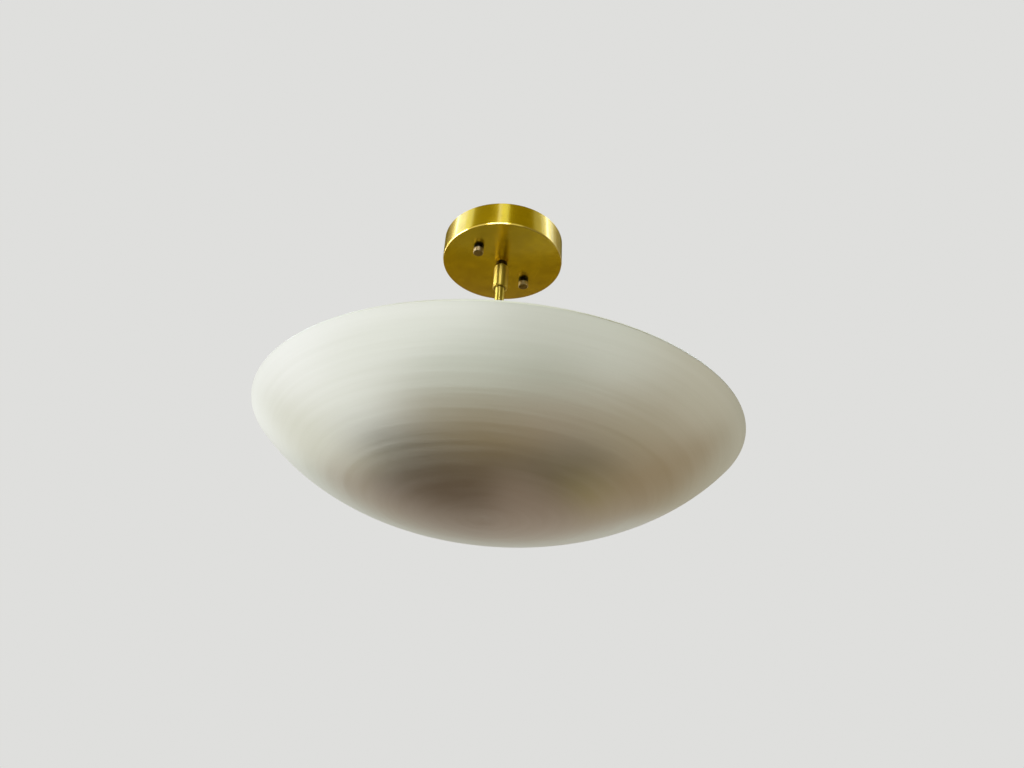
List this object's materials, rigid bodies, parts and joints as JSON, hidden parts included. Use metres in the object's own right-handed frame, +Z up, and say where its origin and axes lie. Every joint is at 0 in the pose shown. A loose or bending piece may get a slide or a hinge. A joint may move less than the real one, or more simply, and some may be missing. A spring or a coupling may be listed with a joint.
{
  "type": "semi-flush ceiling light",
  "caption": "Shallow pale satin spun metal dish hung on a short brass rod and hang-straight swivel from a round brass canopy held by two knobs.",
  "frame": {"origin": "on the light's axis in the ceiling plane, at the middle of the two box screw slots", "axes": "+Z up into the ceiling; +X along the mounting bracket, through the two knobs; +Y over lamp 1"},
  "size_m": [0.432, 0.432, 0.31],
  "materials": {
    "zinc_steel": "bright zinc plate",
    "ground_green": "green ground screw",
    "satin_brass": "brushed round the axis, satin lacquer",
    "polished_brass": "polished",
    "antique_brass": "darkened, satin",
    "plain_brass": "turned, unlacquered",
    "contact_brass": "pressed sheet",
    "porcelain": "glazed",
    "bulb_metal": "rolled thread",
    "opal_glass": "opal white",
    "satin_aluminium": "spun, pale satin, faint rings of the spinning tool"
  },
  "bodies": {
    "ceiling_body": {"mounting_bracket": "zinc_steel", "ground_screw": "ground_green", "canopy_studs": "zinc_steel", "stud_locknuts": "zinc_steel", "canopy": "satin_brass", "swivel_collar": "polished_brass", "collar_nut": "zinc_steel", "stop_washer": "zinc_steel"},
    "knob_left": {"knob_left": "antique_brass"},
    "knob_right": {"knob_right": "antique_brass"},
    "swivel_stem": {"swivel_stem": "polished_brass", "stop_ring": "zinc_steel"},
    "pendant": {"swivel_sleeve": "polished_brass", "swivel_pins": "polished_brass", "rod": "polished_brass", "rod_nut": "zinc_steel", "cluster_cover": "plain_brass", "cover_screws": "zinc_steel", "cluster_body": "plain_brass", "arm_nuts": "zinc_steel", "lamp_arm_1": "plain_brass", "lamp_arm_2": "plain_brass", "lamp_arm_3": "plain_brass", "lampholder_1": "porcelain", "lampholder_2": "porcelain", "lampholder_3": "porcelain", "screw_shell_1": "contact_brass", "screw_shell_2": "contact_brass", "screw_shell_3": "contact_brass", "contact_1": "contact_brass", "contact_2": "contact_brass", "contact_3": "contact_brass", "dish_nipple": "plain_brass", "nipple_nuts": "zinc_steel", "dish_flange": "zinc_steel", "dish_studs": "zinc_steel", "flange_nuts": "zinc_steel", "dish": "satin_aluminium"},
    "bulb_1": {"bulb_base_1": "bulb_metal", "bulb_glass_1": "opal_glass"},
    "bulb_2": {"bulb_base_2": "bulb_metal", "bulb_glass_2": "opal_glass"},
    "bulb_3": {"bulb_base_3": "bulb_metal", "bulb_glass_3": "opal_glass"}
  },
  "joints": [
    {"name": "swivel_turn", "type": "hinge", "parent": "ceiling_body", "child": "swivel_stem", "pos_m": [0, 0, -0.024], "axis": [0, 0, 1], "range_deg": [-170, 170]},
    {"name": "swivel_tilt", "type": "hinge", "parent": "swivel_stem", "child": "pendant", "pos_m": [0, 0, -0.035], "axis": [1, 0, 0], "range_deg": [-30, 30]},
    {"name": "knob_left_turn", "type": "hinge", "parent": "ceiling_body", "child": "knob_left", "pos_m": [-0.036, 0, -0.031], "axis": [0, 0, 1], "continuous": true},
    {"name": "knob_right_turn", "type": "hinge", "parent": "ceiling_body", "child": "knob_right", "pos_m": [0.036, 0, -0.031], "axis": [0, 0, 1], "continuous": true},
    {"name": "bulb_1_turn", "type": "hinge", "parent": "pendant", "child": "bulb_1", "pos_m": [0, 0.07, -0.254], "axis": [0, 1, 0], "continuous": true},
    {"name": "bulb_2_turn", "type": "hinge", "parent": "pendant", "child": "bulb_2", "pos_m": [-0.06062, -0.035, -0.254], "axis": [-0.866, -0.5, 0], "continuous": true},
    {"name": "bulb_3_turn", "type": "hinge", "parent": "pendant", "child": "bulb_3", "pos_m": [0.06062, -0.035, -0.254], "axis": [0.866, -0.5, 0], "continuous": true}
  ]
}
